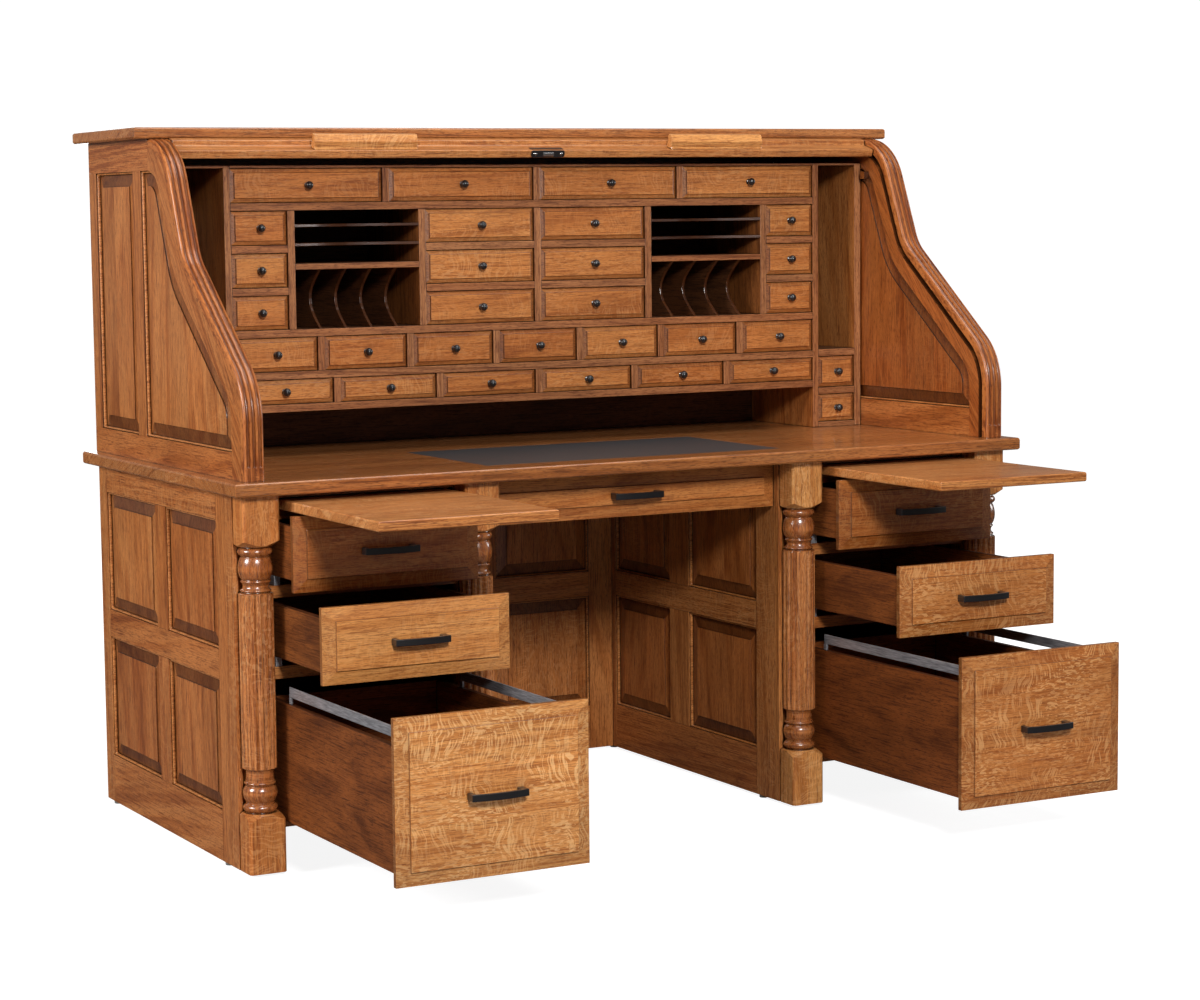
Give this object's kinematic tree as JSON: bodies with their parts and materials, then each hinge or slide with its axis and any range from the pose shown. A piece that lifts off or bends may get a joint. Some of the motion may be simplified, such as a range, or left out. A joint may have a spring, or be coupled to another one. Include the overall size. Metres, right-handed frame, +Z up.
{
  "type": "executive desk",
  "caption": "Roll-top executive desk with pedestal drawers, pull-out writing boards, a tambour top and an organizer of small drawers and letter slots.",
  "frame": {"origin": "on the floor, at the middle of the object's width and depth, drawers included as they stand at rest", "axes": "+X to the right along the width, +Y to the back, +Z up"},
  "size_m": [1.824, 1.4124, 1.444],
  "materials": {
    "oak": "satin lacquer on quarter-sawn oak",
    "pad": "matt",
    "slides": "zinc plated",
    "lock": "satin black"
  },
  "bodies": {
    "root": {"desktop": "oak", "writing_pad": "pad", "left_pedestal": "oak", "right_pedestal": "oak", "modesty_panel": "oak", "turned_posts": "oak", "drawer_slides": "slides", "hutch_left_end": "oak", "hutch_right_end": "oak", "hutch_back": "oak", "hutch_top": "oak", "organizer_case": "oak", "letter_dividers": "oak"},
    "tambour_flat": {"tambour_flat_slats": "oak"},
    "tambour_front": {"tambour_front_slats": "oak"},
    "tambour_lead": {"tambour_rail": "oak", "tambour_lock": "lock"},
    "tambour_rear": {"tambour_rear_slats": "oak"},
    "left_top_drawer": {"left_top_drawer": "oak"},
    "left_middle_drawer": {"left_middle_drawer": "oak"},
    "left_file_drawer": {"left_file_drawer": "oak"},
    "right_top_drawer": {"right_top_drawer": "oak"},
    "right_middle_drawer": {"right_middle_drawer": "oak"},
    "right_file_drawer": {"right_file_drawer": "oak"},
    "left_writing_board": {"left_writing_board": "oak"},
    "right_writing_board": {"right_writing_board": "oak"},
    "centre_drawer": {"centre_drawer": "oak"},
    "organizer_drawer_a1": {"organizer_drawer_a1": "oak"},
    "organizer_drawer_a2": {"organizer_drawer_a2": "oak"},
    "organizer_drawer_a3": {"organizer_drawer_a3": "oak"},
    "organizer_drawer_a4": {"organizer_drawer_a4": "oak"},
    "organizer_drawer_b1": {"organizer_drawer_b1": "oak"},
    "organizer_drawer_b2": {"organizer_drawer_b2": "oak"},
    "organizer_drawer_b3": {"organizer_drawer_b3": "oak"},
    "organizer_drawer_b4": {"organizer_drawer_b4": "oak"},
    "organizer_drawer_c1": {"organizer_drawer_c1": "oak"},
    "organizer_drawer_c2": {"organizer_drawer_c2": "oak"},
    "organizer_drawer_c3": {"organizer_drawer_c3": "oak"},
    "organizer_drawer_c4": {"organizer_drawer_c4": "oak"},
    "organizer_drawer_d1": {"organizer_drawer_d1": "oak"},
    "organizer_drawer_d2": {"organizer_drawer_d2": "oak"},
    "organizer_drawer_d3": {"organizer_drawer_d3": "oak"},
    "organizer_drawer_d4": {"organizer_drawer_d4": "oak"},
    "organizer_drawer_e1": {"organizer_drawer_e1": "oak"},
    "organizer_drawer_e2": {"organizer_drawer_e2": "oak"},
    "organizer_drawer_e3": {"organizer_drawer_e3": "oak"},
    "organizer_drawer_e4": {"organizer_drawer_e4": "oak"},
    "organizer_drawer_e5": {"organizer_drawer_e5": "oak"},
    "organizer_drawer_e6": {"organizer_drawer_e6": "oak"},
    "organizer_drawer_e7": {"organizer_drawer_e7": "oak"},
    "organizer_drawer_f1": {"organizer_drawer_f1": "oak"},
    "organizer_drawer_f2": {"organizer_drawer_f2": "oak"},
    "organizer_drawer_f3": {"organizer_drawer_f3": "oak"},
    "organizer_drawer_f4": {"organizer_drawer_f4": "oak"},
    "organizer_drawer_f5": {"organizer_drawer_f5": "oak"},
    "organizer_drawer_f6": {"organizer_drawer_f6": "oak"},
    "left_lower_tower_drawer": {"left_lower_tower_drawer": "oak"},
    "left_upper_tower_drawer": {"left_upper_tower_drawer": "oak"},
    "right_lower_tower_drawer": {"right_lower_tower_drawer": "oak"},
    "right_upper_tower_drawer": {"right_upper_tower_drawer": "oak"}
  },
  "joints": [
    {"name": "left_top_drawer_slide", "type": "slide", "parent": "root", "child": "left_top_drawer", "axis": [0, -1, 0], "range_m": [-0.1, 0.46]},
    {"name": "left_middle_drawer_slide", "type": "slide", "parent": "root", "child": "left_middle_drawer", "axis": [0, -1, 0], "range_m": [-0.23, 0.33]},
    {"name": "left_file_drawer_slide", "type": "slide", "parent": "root", "child": "left_file_drawer", "axis": [0, -1, 0], "range_m": [-0.541, 0.019]},
    {"name": "right_top_drawer_slide", "type": "slide", "parent": "root", "child": "right_top_drawer", "axis": [0, -1, 0], "range_m": [-0.1, 0.46]},
    {"name": "right_middle_drawer_slide", "type": "slide", "parent": "root", "child": "right_middle_drawer", "axis": [0, -1, 0], "range_m": [-0.318, 0.242]},
    {"name": "right_file_drawer_slide", "type": "slide", "parent": "root", "child": "right_file_drawer", "axis": [0, -1, 0], "range_m": [-0.528, 0.032]},
    {"name": "left_writing_board_slide", "type": "slide", "parent": "root", "child": "left_writing_board", "axis": [0, -1, 0], "range_m": [-0.455, 0.015]},
    {"name": "right_writing_board_slide", "type": "slide", "parent": "root", "child": "right_writing_board", "axis": [0, -1, 0], "range_m": [-0.43, 0.04]},
    {"name": "centre_drawer_slide", "type": "slide", "parent": "root", "child": "centre_drawer", "axis": [0, -1, 0], "range_m": [0, 0.4]},
    {"name": "organizer_drawer_a1_slide", "type": "slide", "parent": "root", "child": "organizer_drawer_a1", "axis": [0, -1, 0], "range_m": [0, 0.18]},
    {"name": "organizer_drawer_a2_slide", "type": "slide", "parent": "root", "child": "organizer_drawer_a2", "axis": [0, -1, 0], "range_m": [0, 0.18]},
    {"name": "organizer_drawer_a3_slide", "type": "slide", "parent": "root", "child": "organizer_drawer_a3", "axis": [0, -1, 0], "range_m": [0, 0.18]},
    {"name": "organizer_drawer_a4_slide", "type": "slide", "parent": "root", "child": "organizer_drawer_a4", "axis": [0, -1, 0], "range_m": [0, 0.18]},
    {"name": "organizer_drawer_b1_slide", "type": "slide", "parent": "root", "child": "organizer_drawer_b1", "axis": [0, -1, 0], "range_m": [0, 0.18]},
    {"name": "organizer_drawer_b2_slide", "type": "slide", "parent": "root", "child": "organizer_drawer_b2", "axis": [0, -1, 0], "range_m": [0, 0.18]},
    {"name": "organizer_drawer_b3_slide", "type": "slide", "parent": "root", "child": "organizer_drawer_b3", "axis": [0, -1, 0], "range_m": [0, 0.18]},
    {"name": "organizer_drawer_b4_slide", "type": "slide", "parent": "root", "child": "organizer_drawer_b4", "axis": [0, -1, 0], "range_m": [0, 0.18]},
    {"name": "organizer_drawer_c1_slide", "type": "slide", "parent": "root", "child": "organizer_drawer_c1", "axis": [0, -1, 0], "range_m": [0, 0.18]},
    {"name": "organizer_drawer_c2_slide", "type": "slide", "parent": "root", "child": "organizer_drawer_c2", "axis": [0, -1, 0], "range_m": [0, 0.18]},
    {"name": "organizer_drawer_c3_slide", "type": "slide", "parent": "root", "child": "organizer_drawer_c3", "axis": [0, -1, 0], "range_m": [0, 0.18]},
    {"name": "organizer_drawer_c4_slide", "type": "slide", "parent": "root", "child": "organizer_drawer_c4", "axis": [0, -1, 0], "range_m": [0, 0.18]},
    {"name": "organizer_drawer_d1_slide", "type": "slide", "parent": "root", "child": "organizer_drawer_d1", "axis": [0, -1, 0], "range_m": [0, 0.18]},
    {"name": "organizer_drawer_d2_slide", "type": "slide", "parent": "root", "child": "organizer_drawer_d2", "axis": [0, -1, 0], "range_m": [0, 0.18]},
    {"name": "organizer_drawer_d3_slide", "type": "slide", "parent": "root", "child": "organizer_drawer_d3", "axis": [0, -1, 0], "range_m": [0, 0.18]},
    {"name": "organizer_drawer_d4_slide", "type": "slide", "parent": "root", "child": "organizer_drawer_d4", "axis": [0, -1, 0], "range_m": [0, 0.18]},
    {"name": "organizer_drawer_e1_slide", "type": "slide", "parent": "root", "child": "organizer_drawer_e1", "axis": [0, -1, 0], "range_m": [0, 0.18]},
    {"name": "organizer_drawer_e2_slide", "type": "slide", "parent": "root", "child": "organizer_drawer_e2", "axis": [0, -1, 0], "range_m": [0, 0.18]},
    {"name": "organizer_drawer_e3_slide", "type": "slide", "parent": "root", "child": "organizer_drawer_e3", "axis": [0, -1, 0], "range_m": [0, 0.18]},
    {"name": "organizer_drawer_e4_slide", "type": "slide", "parent": "root", "child": "organizer_drawer_e4", "axis": [0, -1, 0], "range_m": [0, 0.18]},
    {"name": "organizer_drawer_e5_slide", "type": "slide", "parent": "root", "child": "organizer_drawer_e5", "axis": [0, -1, 0], "range_m": [0, 0.18]},
    {"name": "organizer_drawer_e6_slide", "type": "slide", "parent": "root", "child": "organizer_drawer_e6", "axis": [0, -1, 0], "range_m": [0, 0.18]},
    {"name": "organizer_drawer_e7_slide", "type": "slide", "parent": "root", "child": "organizer_drawer_e7", "axis": [0, -1, 0], "range_m": [0, 0.18]},
    {"name": "organizer_drawer_f1_slide", "type": "slide", "parent": "root", "child": "organizer_drawer_f1", "axis": [0, -1, 0], "range_m": [0, 0.18]},
    {"name": "organizer_drawer_f2_slide", "type": "slide", "parent": "root", "child": "organizer_drawer_f2", "axis": [0, -1, 0], "range_m": [0, 0.18]},
    {"name": "organizer_drawer_f3_slide", "type": "slide", "parent": "root", "child": "organizer_drawer_f3", "axis": [0, -1, 0], "range_m": [0, 0.18]},
    {"name": "organizer_drawer_f4_slide", "type": "slide", "parent": "root", "child": "organizer_drawer_f4", "axis": [0, -1, 0], "range_m": [0, 0.18]},
    {"name": "organizer_drawer_f5_slide", "type": "slide", "parent": "root", "child": "organizer_drawer_f5", "axis": [0, -1, 0], "range_m": [0, 0.18]},
    {"name": "organizer_drawer_f6_slide", "type": "slide", "parent": "root", "child": "organizer_drawer_f6", "axis": [0, -1, 0], "range_m": [0, 0.18]},
    {"name": "left_lower_tower_drawer_slide", "type": "slide", "parent": "root", "child": "left_lower_tower_drawer", "axis": [0, -1, 0], "range_m": [0, 0.18]},
    {"name": "left_upper_tower_drawer_slide", "type": "slide", "parent": "root", "child": "left_upper_tower_drawer", "axis": [0, -1, 0], "range_m": [0, 0.18]},
    {"name": "right_lower_tower_drawer_slide", "type": "slide", "parent": "root", "child": "right_lower_tower_drawer", "axis": [0, -1, 0], "range_m": [0, 0.18]},
    {"name": "right_upper_tower_drawer_slide", "type": "slide", "parent": "root", "child": "right_upper_tower_drawer", "axis": [0, -1, 0], "range_m": [0, 0.18]},
    {"name": "tambour_slide", "type": "slide", "parent": "root", "child": "tambour_flat", "axis": [0, 1, 0], "range_m": [-0.149, 0]},
    {"name": "tambour_front_bend", "type": "hinge", "parent": "tambour_flat", "child": "tambour_front", "pos_m": [0, 0.4698, 1.3903], "axis": [1, 0, 0], "range_deg": [0, 27.1]},
    {"name": "tambour_lead_bend", "type": "hinge", "parent": "tambour_front", "child": "tambour_lead", "pos_m": [0, 0.3144, 1.3903], "axis": [1, 0, 0], "range_deg": [0, 17.1]},
    {"name": "tambour_rear_lift", "type": "slide", "parent": "root", "child": "tambour_rear", "axis": [0, 0, 1], "range_m": [0, 0.1495]}
  ],
  "couplings": [
    {"joint": "tambour_front_bend", "follows": "tambour_slide", "rad_per_m": -3.1627},
    {"joint": "tambour_lead_bend", "follows": "tambour_slide", "rad_per_m": -1.9913},
    {"joint": "tambour_rear_lift", "follows": "tambour_slide", "ratio": -1}
  ]
}
